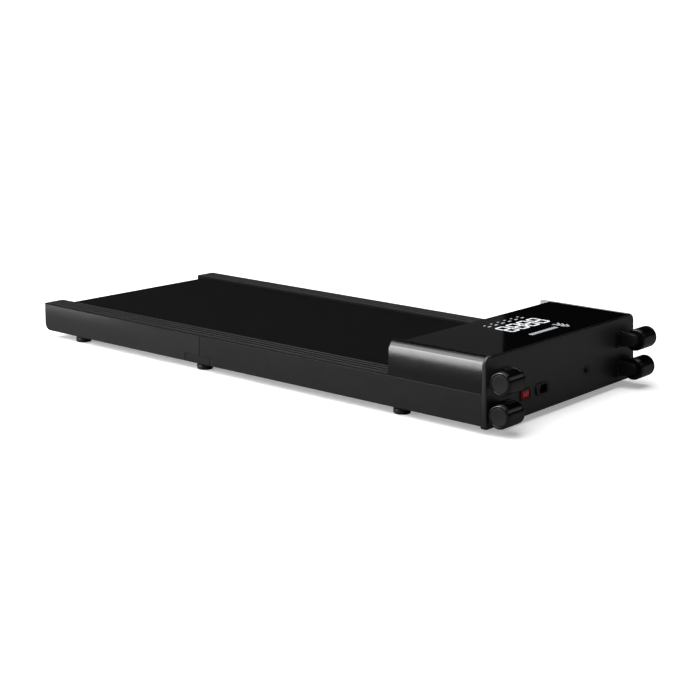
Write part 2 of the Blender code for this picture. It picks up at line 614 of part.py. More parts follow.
def make_transport_wheels():
    """Two pairs of free-turning rollers for moving the machine on its end, each on a bracket."""
    for label, side in SIDES.items():
        for level, z in WHEEL_Z.items():
            centre = (WHEEL_AXIS_X, z)
            outer, inner = side * WHEEL_Y[1], side * WHEEL_Y[0]
            bore, floor = PIN_R + 0.0005, side * (PIN_END_Y + 0.0008)
            soft = side * 0.0018
            profile = [(outer, WHEEL_R - 0.0018), (outer - soft, WHEEL_R), (inner + soft, WHEEL_R)]
            profile += [(inner, WHEEL_R - 0.0018), (inner, bore), (floor, bore)]
            wheel = turned("Y", centre, profile, 36)
            piece(f"{label}_{level}_roller", wheel, "roller_plastic", (WHEEL_AXIS_X, side * WHEEL_Y[0], z))

            low, high = z - 0.0150, z + 0.0150
            arm = [(face_x(low) + GAP, low)] + arc(centre, 0.0110, -90, 90, 8) + [(face_x(high) + GAP, high)]
            bracket = piece(f"{label}_{level}_bracket", prism("Y", arm, *sided(side, *ARM_Y)), "black_plastic")
            foot = [(face_x(low) + GAP, low), (face_x(low) + 0.004, low)]
            foot += [(face_x(high) + 0.004, high), (face_x(high) + GAP, high)]
            reshape(bracket, "foot", prism("Y", foot, *sided(side, 0.1850, 0.2035)), "UNION")
            pin = [(side * 0.2030, PIN_R), (side * PIN_END_Y, PIN_R)]
            reshape(bracket, "pin", turned("Y", centre, pin, 20), "UNION")


def main():
    """Build the whole machine in an empty scene."""
    for old in list(bpy.data.objects):
        bpy.data.objects.remove(old)
    make_materials()
    make_beams()
    make_cross_tubes()
    make_deck()
    make_running_belt()
    make_drums()
    make_drive()
    make_electronics()
    make_rails()
    make_feet()
    make_cheeks()
    make_hood()
    make_front_cover()
    make_belly_pan()
    make_switch()
    make_inlet()
    make_breaker()
    make_transport_wheels()


main()
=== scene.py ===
# %% [markdown]
# # Finishing a flat walking treadmill
# The machine is a low slab to walk on: an endless belt between two ribbed rails, with a hood over the
# motor at one end. Its solids arrive ready made and stay exactly where they are. This file gives them
# their finishes, and adds what is too fine for the solids: ribs, screws, the lit display and turned
# rollers. Every length is in metres.

# %% Load the solids
import json
import math

import bmesh
import bpy
from mathutils import Matrix, Vector

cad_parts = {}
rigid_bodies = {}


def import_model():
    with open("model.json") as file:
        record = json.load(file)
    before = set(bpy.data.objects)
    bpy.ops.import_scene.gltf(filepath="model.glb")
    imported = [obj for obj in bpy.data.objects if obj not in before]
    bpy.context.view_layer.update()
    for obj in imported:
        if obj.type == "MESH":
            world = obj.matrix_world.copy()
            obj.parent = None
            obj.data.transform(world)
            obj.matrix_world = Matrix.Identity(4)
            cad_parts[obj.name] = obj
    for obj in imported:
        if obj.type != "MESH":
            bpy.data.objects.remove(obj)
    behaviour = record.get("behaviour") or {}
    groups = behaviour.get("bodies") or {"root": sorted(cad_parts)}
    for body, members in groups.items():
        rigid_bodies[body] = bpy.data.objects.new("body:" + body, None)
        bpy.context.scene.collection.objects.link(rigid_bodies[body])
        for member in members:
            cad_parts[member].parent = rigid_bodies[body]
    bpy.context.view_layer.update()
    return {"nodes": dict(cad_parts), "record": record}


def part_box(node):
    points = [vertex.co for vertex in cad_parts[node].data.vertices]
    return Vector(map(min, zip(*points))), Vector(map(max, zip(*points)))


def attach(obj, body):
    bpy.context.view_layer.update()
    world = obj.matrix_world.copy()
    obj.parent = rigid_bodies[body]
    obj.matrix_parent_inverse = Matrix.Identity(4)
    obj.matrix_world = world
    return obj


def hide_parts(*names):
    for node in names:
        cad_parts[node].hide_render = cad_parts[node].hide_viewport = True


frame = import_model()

nodes = frame["nodes"]

# %% [markdown]
# ## The camera
# A long lens from a few paces away keeps the long rails almost parallel. The camera stands by the motor
# end, just above the height of a table, and leans by less than two degrees. An eye point and three
# angles say all of that, and a matrix made of the right, up and back directions turns them into a pose.

# %% Place the camera
EYE = Vector((1.9047, -2.3289, 0.7193))
HEADING, DROP, ROLL = math.radians(38.645), math.radians(13.047), math.radians(1.019)
LENS, SENSOR = 77.22, 36.0

ahead = Vector((-math.sin(HEADING) * math.cos(DROP), math.cos(HEADING) * math.cos(DROP), -math.sin(DROP)))
level = Vector((math.cos(HEADING), math.sin(HEADING), 0.0))
right = level * math.cos(ROLL) + level.cross(ahead) * math.sin(ROLL)
up = right.cross(ahead)
camera = bpy.data.objects.new("camera", bpy.data.cameras.new("camera"))
camera.data.lens, camera.data.sensor_width = LENS, SENSOR
camera.matrix_world = Matrix.Translation(EYE) @ Matrix((right, up, -ahead)).transposed().to_4x4()
bpy.context.scene.collection.objects.link(camera)
bpy.context.scene.camera = camera
print("camera looks along", tuple(round(v, 3) for v in ahead))

# %% [markdown]
# ## Light
# The product stands under one very large soft light, as in a catalogue studio. A sun lamp with a wide
# disc lights the whole floor evenly. Black plastic shows little but what it mirrors, so it gets something:
# a tall softbox for the shoulder of the hood, a low one for the rear skirts, a weak one for the far side,
# and a dim card behind that greys one half of the polished top. All else around it is dark.

# %% Hang the lights
bpy.context.scene.view_settings.view_transform = "Standard"
world = bpy.data.worlds.new("studio")
world.use_nodes = True
world.node_tree.nodes["Background"].inputs["Color"].default_value = (0.002, 0.002, 0.002, 1.0)
bpy.context.scene.world = world


def lamp(name, kind, energy, spot, aim, **settings):
    """A light at a spot, turned towards another point."""
    made = bpy.data.objects.new(name, bpy.data.lights.new(name, kind))
    made.data.energy = energy
    for key, value in settings.items():
        setattr(made.data, key, value)
    made.location = spot
    made.rotation_euler = (Vector(aim) - Vector(spot)).to_track_quat("-Z", "Y").to_euler()
    bpy.context.scene.collection.objects.link(made)
    return made


def softbox(name, radiance, spot, aim, wide, tall):
    """A flat rectangular light of an even brightness."""
    watts = radiance * math.pi * wide * tall
    return lamp(name, "AREA", watts, spot, aim, shape="RECTANGLE", size=wide, size_y=tall)


lamp("overhead", "SUN", 3.9, (-0.6, -0.9, 3.0), (0, 0, 0), angle=math.radians(70))
softbox("shoulder_softbox", 12.5, (-1.05, -2.10, 1.25), (0.45, -0.26, 0.10), 1.1, 1.8)
softbox("rear_softbox", 5.5, (-2.75, -1.80, 0.60), (-0.50, -0.26, 0.05), 1.3, 1.1)
softbox("far_fill", 0.5, (2.40, 2.30, 1.70), (0.20, 0.20, 0.05), 1.6, 1.2)
softbox("rear_card", 0.055, (-1.905, 2.52, 1.05), (0.40, 0.00, 0.14), 1.2, 1.6)

# %% [markdown]
# ## The sheet that it stands on
# A floor that ends shows its edge as a line behind the product. A bigger floor only moves that line, so
# this sheet is flat near the product and sweeps upwards far away from it, like the paper roll of a studio.
# Four sloping faces round a flat one are enough, because nothing stands near the fold.

# %% Lay the floor
FLAT, FAR, SWEEP = 40.0, 60.0, 9.0
square = [(-1, -1), (1, -1), (1, 1), (-1, 1)]
near_edge = [(x * FLAT, y * FLAT, 0.0) for x, y in square]
far_edge = [(x * FAR, y * FAR, SWEEP) for x, y in square]
slopes = [(i, 4 + i, 4 + (i + 1) % 4, (i + 1) % 4) for i in range(4)]
floor_mesh = bpy.data.meshes.new("floor")
floor_mesh.from_pydata(near_edge + far_edge, [], [(0, 1, 2, 3)] + slopes)
floor = bpy.data.objects.new("floor", floor_mesh)
bpy.context.scene.collection.objects.link(floor)
print("floor has", len(floor_mesh.polygons), "faces")

# %% [markdown]
# ## Shader arithmetic in Python
# A finish is a small graph of nodes. Wiring it by hand hides the sum that it works out, so a socket is
# wrapped in a class whose plus, minus, times and divide add the Math nodes. Each operator also has its
# reflected form, so that a number may stand first.

# %% Wrap a socket
class Signal:
    """A node's output on which Python's arithmetic works."""

    def __init__(self, book, socket):
        self.book, self.socket = book, socket

    def sum(self, operation, *values):
        return self.book.add("ShaderNodeMath", {"operation": operation}, dict(enumerate(values)))

    def __add__(self, other):
        return self.sum("ADD", self, other)

    def __sub__(self, other):
        return self.sum("SUBTRACT", self, other)

    def __rsub__(self, other):
        return self.sum("SUBTRACT", other, self)

    def __mul__(self, other):
        return self.sum("MULTIPLY", self, other)

    def __truediv__(self, other):
        return self.sum("DIVIDE", self, other)

    def __rtruediv__(self, other):
        return self.sum("DIVIDE", other, self)

    __radd__, __rmul__ = __add__, __mul__

    def __abs__(self):
        return self.sum("ABSOLUTE", self)

    def above(self, level):
        """How far the value is above a level, and 0 below it."""
        return self.sum("MAXIMUM", self - level, 0.0)

    def fade(self, low, high):
        """0 below low and 1 above high, with a smooth step between."""
        return self.book.add("ShaderNodeMapRange", {"interpolation_type": "SMOOTHSTEP"},
                             {"Value": self, "From Min": low, "From Max": high})


print("a signal knows", [name for name in vars(Signal) if not name.startswith("__")])

# %% [markdown]
# ## Writing a tree
# Shaders and Geometry Nodes are both node trees, so one class writes either. Its one method takes a
# node's type, its settings and the values or links of its sockets. A finish adds what a surface is made
# of: cloudy noise, pebbled cells, a coordinate, a blend of two colours and a relief.

# %% Write trees and finishes
class Book:
    """A node tree that is being written."""

    def __init__(self, tree):
        self.tree = tree

    def add(self, kind, settings=None, sockets=None, out=0):
        """Add a node: settings first, then socket values or links. Returns one output as a Signal."""
        made = self.tree.nodes.new(kind)
        for key, value in (settings or {}).items():
            setattr(made, key, value)
        for key, value in (sockets or {}).items():
            self.feed(made.inputs[key], value)
        return Signal(self, made.outputs[out])

    def feed(self, socket, value):
        """Link a Signal into a socket, or set the socket's own value."""
        if isinstance(value, Signal):
            self.tree.links.new(value.socket, socket)
        else:
            socket.default_value = value


class Finish(Book):
    """A material whose shader is being written."""

    def __init__(self, name, **constants):
        self.material = bpy.data.materials.new(name)
        self.material.use_nodes = True
        super().__init__(self.material.node_tree)
        self.shader = self.tree.nodes["Principled BSDF"]
        self.spot = self.add("ShaderNodeTexCoord", out="Object")
        for key, value in constants.items():
            self.set(key.replace("_", " "), value)

    def set(self, key, value):
        self.feed(self.shader.inputs[key], value)

    def noise(self, scale, detail=2.0, stretch=None):
        """Cloudy grain; scale is in cells for each metre, and stretch lengthens the cells along an axis."""
        vector = self.spot
        if stretch:
            vector = self.add("ShaderNodeMapping", None, {"Vector": self.spot, "Scale": stretch})
        return self.add("ShaderNodeTexNoise", None, {"Vector": vector, "Scale": scale, "Detail": detail})

    def cells(self, scale):
        """Distance to the nearest of scattered points, for pebbled grain."""
        return self.add("ShaderNodeTexVoronoi", None, {"Vector": self.spot, "Scale": scale})

    def axis(self, letter):
        """One coordinate of the point that is shaded."""
        return self.add("ShaderNodeSeparateXYZ", None, {"Vector": self.spot}, out=letter)

    def blend(self, dark, light, share):
        """A colour between two others; its sockets share their names, so they are found by place."""
        return self.add("ShaderNodeMix", {"data_type": "RGBA"}, {0: share, 6: dark, 7: light}, out=2)

    def relief(self, height, depth):
        """Raise and sink the surface by a depth in metres."""
        bump = self.add("ShaderNodeBump", None, {"Height": height, "Distance": depth, "Strength": 1.0})
        self.set("Normal", bump)


def grey(level, warmth=0.0):
    """Linear colour of one 0-255 screen level, a touch warmer or cooler."""
    value = level / 255
    linear = value / 12.92 if value <= 0.04045 else ((value + 0.055) / 1.055) ** 2.4
    return (linear * (1 + warmth), linear, linear * (1 - warmth), 1.0)


print("screen level 128 is", round(grey(128)[0], 3), "in linear light")

# %% [markdown]
# ## The floor's finish
# A real studio floor has one pale colour. This one has two: the camera sees it white and faintly lit,
# but reflections and bounced light meet dark grey, as if the sheet were small and the room black. The
# Light Path node tells the two kinds of ray apart. One plain colour would be simpler and truer to a real
# floor, but black plastic that mirrors it would come out lighter.

# %% Finish the floor
floor_finish = Finish("studio_floor", Roughness=0.9, **{"Specular IOR Level": 0.0})
seen = floor_finish.add("ShaderNodeLightPath", out="Is Camera Ray")
floor_finish.set("Base Color", floor_finish.blend((0.13, 0.13, 0.13, 1), (0.90, 0.90, 0.90, 1), seen))
floor_finish.set("Emission Color", floor_finish.blend((0.0, 0.0, 0.0, 1), (0.32, 0.32, 0.32, 1), seen))
floor_finish.set("Emission Strength", 1.0)
floor_mesh.materials.append(floor_finish.material)
print("floor finish has", len(floor_finish.tree.nodes), "nodes")

# %% [markdown]
# ## Moulded plastics
# The skirts, hood and strips are injection moulded. Their sheen comes from a fine spark-eroded grain in
# the mould, so one function makes them all: a cloudy colour, a roughness that wanders a little, and a
# pebble relief of a few hundredths of a millimetre. The rear skirts and the cheeks also get a crown, a
# slow curve that exists only in the relief: it bends the light on them, and leaves the mesh flat.

# %% Make the plastics
def moulded(name, level, rough, grain=1400, depth=0.00003, spread=0.10, coat=0.0, shine=0.5,
            crown=None, run_out=None, painted_shade=None):
    """Plastic with mould grain.

    crown is (height, radius): above that height the relief makes a flat side seem to curve inwards, and
    between the two places along the machine in run_out that fades away. The last argument, a (low, high)
    pair of heights, is painted shade: between those heights the colour gets lighter, so the surface is
    painted darker towards the floor and lighter towards the top.
    """
    made = Finish(name, **{"Coat Weight": coat, "Coat Roughness": 0.12, "Specular IOR Level": shine})
    tone_and_painted_shade = made.noise(9.0, 4.0)
    # Painted shade: with the last argument the colour mostly follows height, darker low and lighter high.
    if painted_shade:
        tone_and_painted_shade = tone_and_painted_shade * 0.15 + made.axis("Z").fade(*painted_shade) * 0.85
    made.set("Base Color", made.blend(grey(level * (1 - spread)), grey(level * (1 + spread)), tone_and_painted_shade))
    made.set("Roughness", made.noise(60.0, 3.0) * 0.10 + (rough - 0.05))
    height = made.cells(grain)
    if crown:
        start, radius = crown
        rise = made.axis("Z").above(start)
        if run_out:
            rise = rise * (1.0 - made.axis("X").fade(*run_out))
        height = height - rise * rise / (2 * radius * depth)
    made.relief(height, depth)
    return made.material


rear_finish = moulded("crowned_skirt_moulding", 21, 0.34, crown=(0.048, 0.18), run_out=(-0.50, -0.14))
skirt_finish = moulded("flat_skirt_moulding", 19, 0.34, shine=0.42)
strip_finish = moulded("matt_strip_moulding", 4, 0.60, depth=0.00004, shine=0.12)
# The ribs are the strip's own black plastic; their lighter colour is a painted highlight, for the light on
# their crests.
rib_finish = moulded("worn_rib_moulding", 25, 0.50, depth=0.00002, shine=0.3)
hood_finish = moulded("hood_moulding", 6, 0.21, grain=2200, depth=0.000005, coat=0.15, crown=(0.088, 0.14))
# The front cover's colour carries painted shade: darker towards the floor, lighter towards the top.
front_finish = moulded("front_cover_moulding", 31, 0.32, grain=1600, depth=0.00002, spread=0.6,
                       painted_shade=(0.012, 0.120))
black_finish = moulded("plain_black_moulding", 12, 0.42)
roller_finish = moulded("polished_roller_moulding", 6, 0.16, grain=2600, depth=0.000004)
cap_finish = moulded("matt_roller_cap", 8, 0.50, depth=0.00002, shine=0.35)
print("plastics:", [m.name for m in bpy.data.materials if "mould" in m.name])

# %% [markdown]
# ## Belt, rubber and glass
# A walking belt is woven cloth under a thin layer of PVC that is pressed with a small pebble pattern for
# grip. The pattern is finer than a shoe sole, so relief in the shader is enough. The feet are rubber, and
# the hood's top is a sheet of black acrylic as smooth as glass, with only a faint haze of handling.

# %% Make the belt, rubber and glass
belt = Finish("pebbled_belt", **{"Specular IOR Level": 0.05})
tread = abs(belt.axis("Y")).fade(0.10, 0.19)
belt.set("Base Color", belt.blend(grey(4), grey(8), belt.noise(14.0, 5.0)))
belt.set("Roughness", belt.noise(40.0, 2.0) * 0.08 + (tread * 0.06 + 0.72))
belt.relief(belt.cells(520) + belt.noise(1500, 1.0) * 0.4, 0.00016)

rubber = Finish("moulded_rubber")
rubber.set("Base Color", rubber.blend(grey(12), grey(20), rubber.noise(70.0, 4.0)))
rubber.set("Roughness", rubber.noise(120.0, 3.0) * 0.14 + 0.38)
rubber.relief(rubber.noise(900, 2.0), 0.00004)

glass = Finish("black_acrylic", IOR=1.49)
haze = glass.noise(11.0, 5.0)
glass.set("Base Color", glass.blend(grey(2), grey(5), haze))
glass.set("Roughness", glass.noise(5.0, 4.0).fade(0.45, 0.75) * 0.045 + 0.035)
glass.relief(glass.noise(26.0, 1.0), 0.00001)
print("belt, rubber and glass are ready")

# %% [markdown]
# ## Metals
# Steel that the light catches is turned or drawn, so its fine lines run one way: a noise stretched along
# one axis makes them. Frame steel is powder coated, which leaves a soft orange-peel relief.

# %% Make the metals
def drawn_metal(name, level, rough, stretch, warmth=0.0):
    """Bare metal whose fine lines run along one axis."""
    made = Finish(name, Metallic=1.0)
    lines = made.noise(900.0, 3.0, stretch)
    dull, bright = grey(level * 0.9, warmth), grey(level * 1.06, warmth)
    made.set("Base Color", made.blend(dull, bright, made.noise(30.0, 3.0)))
    made.set("Roughness", lines * 0.16 + (rough - 0.08))
    made.relief(lines, 0.00001)
    return made.material


def coated_metal(name, level, rough, metallic):
    """Powder coat or enamel with orange peel."""
    made = Finish(name, Metallic=metallic)
    made.set("Base Color", made.blend(grey(level * 0.9), grey(level * 1.1), made.noise(25.0, 3.0)))
    made.set("Roughness", made.noise(200.0, 2.0) * 0.10 + (rough - 0.05))
    made.relief(made.noise(650.0, 2.0), 0.00005)
    return made.material


turned_steel = drawn_metal("turned_steel", 150, 0.30, (1.0, 0.02, 1.0))
zinc_steel = drawn_metal("zinc_screw_steel", 120, 0.34, (1.0, 1.0, 1.0), 0.02)
black_steel = drawn_metal("blackened_screw_steel", 46, 0.40, (1.0, 1.0, 1.0))
brass = drawn_metal("inlet_brass", 170, 0.28, (0.05, 1.0, 1.0), 0.28)
sink_metal = drawn_metal("sink_aluminium", 150, 0.36, (0.05, 1.0, 1.0))
frame_coat = coated_metal("frame_powder_coat", 26, 0.42, 0.0)
motor_coat = coated_metal("motor_enamel", 62, 0.36, 0.3)
print("metals:", [m.name for m in (turned_steel, zinc_steel, black_steel, brass, sink_metal)])

# %% [markdown]
# ## Boards, rocker and inks
# The deck is waxed fibreboard, a fine brown speckle. The traces of a circuit board are a noise with a hard
# step in it. The rocker is glossy red plastic. The inks of the display give some light of their own, the
# numerals the most, and the marks on the rocker are plain white print.

# %% Make the boards, the rocker and the inks
deck = Finish("waxed_fibreboard", Roughness=0.55)
speckle = deck.noise(900.0, 4.0)
deck.set("Base Color", deck.blend((0.010, 0.008, 0.006, 1), (0.022, 0.017, 0.013, 1), speckle))
board = Finish("green_board")
traces = board.noise(420.0, 0.0).fade(0.48, 0.52)
board.set("Base Color", board.blend((0.006, 0.060, 0.026, 1), (0.014, 0.110, 0.050, 1), traces))
board.set("Roughness", traces * 0.1 + 0.32)

red = Finish("red_rocker_plastic", IOR=1.52)
red.set("Base Color", red.blend((0.82, 0.016, 0.034, 1), (0.90, 0.026, 0.048, 1), red.noise(160.0, 3.0)))
red.set("Roughness", red.noise(220.0, 2.0) * 0.08 + 0.18)

lit = Finish("lit_display_ink", Roughness=0.4, **{"Emission Strength": 1.0})
glow = lit.noise(180.0, 2.0)
lit.set("Base Color", lit.blend((0.40, 0.41, 0.42, 1), (0.50, 0.51, 0.52, 1), glow))
lit.set("Emission Color", lit.blend((0.52, 0.54, 0.57, 1), (0.68, 0.70, 0.73, 1), glow))
dim = Finish("dim_display_ink", Roughness=0.4, **{"Emission Strength": 1.0})
dim.set("Base Color", dim.blend((0.30, 0.31, 0.32, 1), (0.38, 0.39, 0.40, 1), dim.noise(180.0, 2.0)))
dim.set("Emission Color", dim.blend((0.16, 0.17, 0.18, 1), (0.24, 0.25, 0.26, 1), dim.noise(180.0, 2.0)))
ink = Finish("white_print")
ink.set("Base Color", ink.blend((0.62, 0.62, 0.62, 1), (0.72, 0.72, 0.72, 1), ink.noise(400.0, 2.0)))
ink.set("Roughness", ink.noise(500.0, 2.0) * 0.1 + 0.4)
print(len(bpy.data.materials), "materials in all")

# %% [markdown]
# ## Dress the solids
# The solids arrive as bare triangles with knife-sharp edges. Real edges catch light because they are
# rounded, so each solid keeps its own mesh and gets modifiers: Weld joins the triangles, Bevel rounds
# what is sharper than 35 degrees where an edge width is given, and Weighted Normal keeps the flats flat.

# %% Give every solid its finish
def dress(name, material, edge=0.0005, segments=2):
    """Finish one solid in place."""
    solid = nodes[name]
    solid.data.materials.clear()
    solid.data.materials.append(material)
    for polygon in solid.data.polygons:
        polygon.use_smooth = True
    weld = solid.modifiers.new("weld", "WELD")
    weld.merge_threshold = 0.00001
    if edge:
        bevel = solid.modifiers.new("rounded_edges", "BEVEL")
        bevel.width, bevel.segments = edge, segments
        bevel.limit_method, bevel.angle_limit = "ANGLE", math.radians(35)
    normals = solid.modifiers.new("flat_flats", "WEIGHTED_NORMAL")
    normals.keep_sharp = True


WARDROBE = {
    "rear_skirt": (rear_finish, 0.0004),
    "front_skirt skirt_clip": (skirt_finish, 0.0003),
    "tread_strip": (strip_finish, 0.0003),
    "hood_cheek": (hood_finish, 0.0006),
    "front_end_cover": (front_finish, 0.0004),
    "display_glass": (glass.material, 0.0),
    "hood_top_cover belly_pan breaker upper_bracket lower_bracket switch_bezel power_inlet":
        (black_finish, 0.0004),
    "switch_rocker": (red.material, 0.0004),
    "running_belt": (belt.material, 0.0003),
    "cushion drive_belt foot": (rubber.material, 0.0003),
    "drum axle bearing bolt motor_pulley": (turned_steel, 0.0003),
    "beam cross_tube mount_plate": (frame_coat, 0.0004),
    "front_roller_pulley": (black_finish, 0.0002),
    "drive_motor": (motor_coat, 0.0005),
    "motor_controller": (sink_metal, 0.0003),
    "led_display_board": (board.material, 0.0002),
    "walking_deck": (deck.material, 0.0),
    "upper_roller lower_roller": (roller_finish, 0.0004),
}


def outfit(name):
    """The last entry of the wardrobe that has a word of the node's name."""
    found = [wear for words, wear in WARDROBE.items() if any(word in name for word in words.split())]
    return found[-1]


for name in nodes:
    material, edge = outfit(name)
    dress(name, material, edge)
print("dressed", len(nodes), "solids")

# %% [markdown]
# ## Geometry Nodes on a workbench
# What repeats is made by Geometry Nodes: a tree with named sizes, which ends by making its copies real
# and giving them a finish. A host mesh carries the tree, its sizes are set, and the evaluated result is
# copied into a plain mesh, so that nothing live is left on the piece.

# %% Build the workbench
class Bench(Book):
    """A Geometry Nodes tree with named inputs."""

    def __init__(self, name, **sizes):
        tree = bpy.data.node_groups.new(name, "GeometryNodeTree")
        super().__init__(tree)
        face = tree.interface
        face.new_socket("Geometry", in_out="INPUT", socket_type="NodeSocketGeometry")
        kinds = {int: "NodeSocketInt", float: "NodeSocketFloat", tuple: "NodeSocketVector"}
        self.ids = {}
        for key, value in sizes.items():
            socket = face.new_socket(key, in_out="INPUT", socket_type=kinds[type(value)])
            self.ids[key] = (socket.identifier, value)
        face.new_socket("Geometry", in_out="OUTPUT", socket_type="NodeSocketGeometry")
        self.entry = tree.nodes.new("NodeGroupInput")

    def given(self, key="Geometry"):
        """One of the tree's inputs."""
        return Signal(self, self.entry.outputs[key])

    def close(self, geometry, material):
        """Make copies real, give them a finish and end the tree."""
        real = self.add("GeometryNodeRealizeInstances", None, {0: geometry})
        painted = self.add("GeometryNodeSetMaterial", None, {"Geometry": real, "Material": material})
        leave = self.tree.nodes.new("NodeGroupOutput")
        self.tree.links.new(painted.socket, leave.inputs[0])
        return self

    def make(self, name, body, slot, points=((0, 0, 0),), **sizes):
        """Run the tree over some points and keep the result as a plain piece on a body."""
        host_mesh = bpy.data.meshes.new(name)
        host_mesh.from_pydata([tuple(p) for p in points], [], [])
        host = bpy.data.objects.new(name, host_mesh)
        bpy.context.scene.collection.objects.link(host)
        modifier = host.modifiers.new("bench", "NODES")
        modifier.node_group = self.tree
        for key, (identifier, value) in self.ids.items():
            modifier[identifier] = sizes.get(key, value)
        bpy.context.view_layer.update()
        graph = bpy.context.evaluated_depsgraph_get()
        mesh = bpy.data.meshes.new_from_object(host.evaluated_get(graph))
        host.modifiers.remove(modifier)
        host.data = mesh
        mesh.name = name
        bpy.data.meshes.remove(host_mesh)
        return settle(host, body)


def settle(piece, body):
    """Weld a finished piece, let it ride on its body and report it."""
    mesh = bmesh.new()
    mesh.from_mesh(piece.data)
    bmesh.ops.remove_doubles(mesh, verts=mesh.verts, dist=1e-6)
    bmesh.ops.recalc_face_normals(mesh, faces=mesh.faces)
    mesh.to_mesh(piece.data)
    mesh.free()
    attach(piece, body)
    print(f"{piece.name}: {len(piece.data.polygons)} faces on {body}")
    return piece


# %% [markdown]
# ## Ribs on the tread strips
# A shoe that strays off the belt lands on these ribs. They are one small rounded bar drawn along the
# rail and repeated across it. A profile swept along a line gives the bar, and a row of points across the
# strip carries the copies. The ribs stop short of the strip's ends, as moulded ribs do.

# %% Lay the ribs
def bar_bench(name, material):
    """Rounded bars along X, repeated along Y."""
    bars = Bench(name, Start=(0.0, 0.0, 0.0), Length=1.0, Count=6, Pitch=0.0075, Width=0.003, Height=0.001)
    end = bars.add("ShaderNodeCombineXYZ", None, {"X": bars.given("Length")})
    line = bars.add("GeometryNodeCurvePrimitiveLine", None, {"End": end})
    profile = bars.add("GeometryNodeCurvePrimitiveQuadrilateral", None,
                       {"Width": bars.given("Width"), "Height": bars.given("Height")})
    profile = bars.add("GeometryNodeFilletCurve", {"mode": "POLY"},
                       {"Curve": profile, "Count": 2, "Radius": bars.given("Height") * 0.35})
    bar = bars.add("GeometryNodeCurveToMesh", None,
                   {"Curve": line, "Profile Curve": profile, "Fill Caps": True})
    step = bars.add("ShaderNodeCombineXYZ", None, {"Y": bars.given("Pitch")})
    row = bars.add("GeometryNodeMeshLine", None,
                   {"Count": bars.given("Count"), "Start Location": bars.given("Start"), "Offset": step})
    copies = bars.add("GeometryNodeInstanceOnPoints", None, {"Points": row, "Instance": bar})
    return bars.close(copies, material)


ribs = bar_bench("strip_ribs", rib_finish)
RIB_COUNT, RIB_END_GAP, RIB_EDGE = 4, 0.004, 0.0060
for side in ("left", "right"):
    low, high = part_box(f"{side}_tread_strip")
    start = (low.x + RIB_END_GAP, low.y + RIB_EDGE, high.z)
    ribs.make(f"{side}_tread_ribs", "chassis", "strip_plastic", Start=start, Count=RIB_COUNT, Width=0.0030,
              Pitch=(high.y - low.y - 2 * RIB_EDGE) / (RIB_COUNT - 1), Height=0.0016,
              Length=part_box(f"{side}_hood_cheek")[0].x - low.x - 2 * RIB_END_GAP)

# %% [markdown]
# ## Louvres under the motor
# The motor sheds its heat through slats in the pan below it. Each slat is the same rounded bar as a rib,
# only wider and higher, so the tree that made the ribs makes them too, in three fields of twelve.

# %% Lay the louvres under the motor
louvres = bar_bench("pan_louvres", black_finish)
pan_low, pan_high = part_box("belly_pan")
LOUVRE_GAP = 0.030
for place, y in (("left", 0.055), ("middle", -0.055), ("right", -0.165)):
    louvres.make(f"{place}_pan_louvres", "chassis", "black_plastic",
                 Start=(pan_low.x + LOUVRE_GAP, y, pan_low.z), Length=pan_high.x - pan_low.x - 2 * LOUVRE_GAP,
                 Count=12, Pitch=0.010, Width=0.005, Height=0.0024)

# %% [markdown]
# ## The lit display
# Four seven-part numerals shine through the black acrylic, with two rows of small marks nearer the belt
# and a plain row of ticks and arrowheads beyond them. Each lit shape is a thin plate that lies a hair
# above the acrylic. A numeral is one bar placed seven times, and the numerals are a row of copies.

# %% Draw the numerals
panel_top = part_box("display_glass")[1].z
LIT_LIFT, LIT_THICK = 0.00008, 0.00024


def join(bench, parts):
    """Join several geometries."""
    node = bench.tree.nodes.new("GeometryNodeJoinGeometry")
    for part in parts:
        bench.tree.links.new(part.socket, node.inputs[0])
    return Signal(bench, node.outputs[0])


def plate(bench, width, height, radius, thick=LIT_THICK):
    """A thin rounded plate that lies flat."""
    outline = bench.add("GeometryNodeCurvePrimitiveQuadrilateral", None, {"Width": width, "Height": height})
    outline = bench.add("GeometryNodeFilletCurve", {"mode": "POLY"},
                        {"Curve": outline, "Count": 4, "Radius": radius, "Limit Radius": True})
    flat = bench.add("GeometryNodeFillCurve", None, {"Curve": outline})
    raised = bench.add("GeometryNodeExtrudeMesh", None, {"Mesh": flat, "Offset Scale": thick})
    under = bench.add("GeometryNodeFlipFaces", None, {"Mesh": flat})
    return join(bench, (raised, under))


def shift(bench, geometry, x=0.0, y=0.0, turn=0.0):
    """Move and turn a shape in its own plane."""
    place = bench.add("ShaderNodeCombineXYZ", None, {"X": x, "Y": y})
    return bench.add("GeometryNodeTransform", None,
                     {"Geometry": geometry, "Translation": place, "Rotation": (0.0, 0.0, turn)})


numerals = Bench("numerals", Start=(0.0, 0.0, 0.0), Count=4, Pitch=0.035, Tall=0.040, Wide=0.024,
                 Stroke=0.005)
tall, wide, stroke = (numerals.given(key) for key in ("Tall", "Wide", "Stroke"))
half_x, half_y = (tall - stroke) * 0.5, (wide - stroke) * 0.5
long_bar = plate(numerals, half_x - stroke * 0.35, stroke, stroke * 0.45)
short_bar = plate(numerals, half_y * 2.0 - stroke * 0.5, stroke, stroke * 0.45)
strokes = [shift(numerals, long_bar, half_x * sx * 0.5, half_y * sy) for sx in (-1, 1) for sy in (-1, 1)]
strokes += [shift(numerals, short_bar, half_x * sx, 0.0, math.pi / 2) for sx in (-1, 0, 1)]
step = numerals.add("ShaderNodeCombineXYZ", None, {"Y": numerals.given("Pitch")})
start, count = numerals.given("Start"), numerals.given("Count")
row = numerals.add("GeometryNodeMeshLine", None, {"Count": count, "Start Location": start, "Offset": step})
digits = numerals.add("GeometryNodeInstanceOnPoints", None,
                      {"Points": row, "Instance": join(numerals, strokes)})
numerals.close(digits, lit.material)

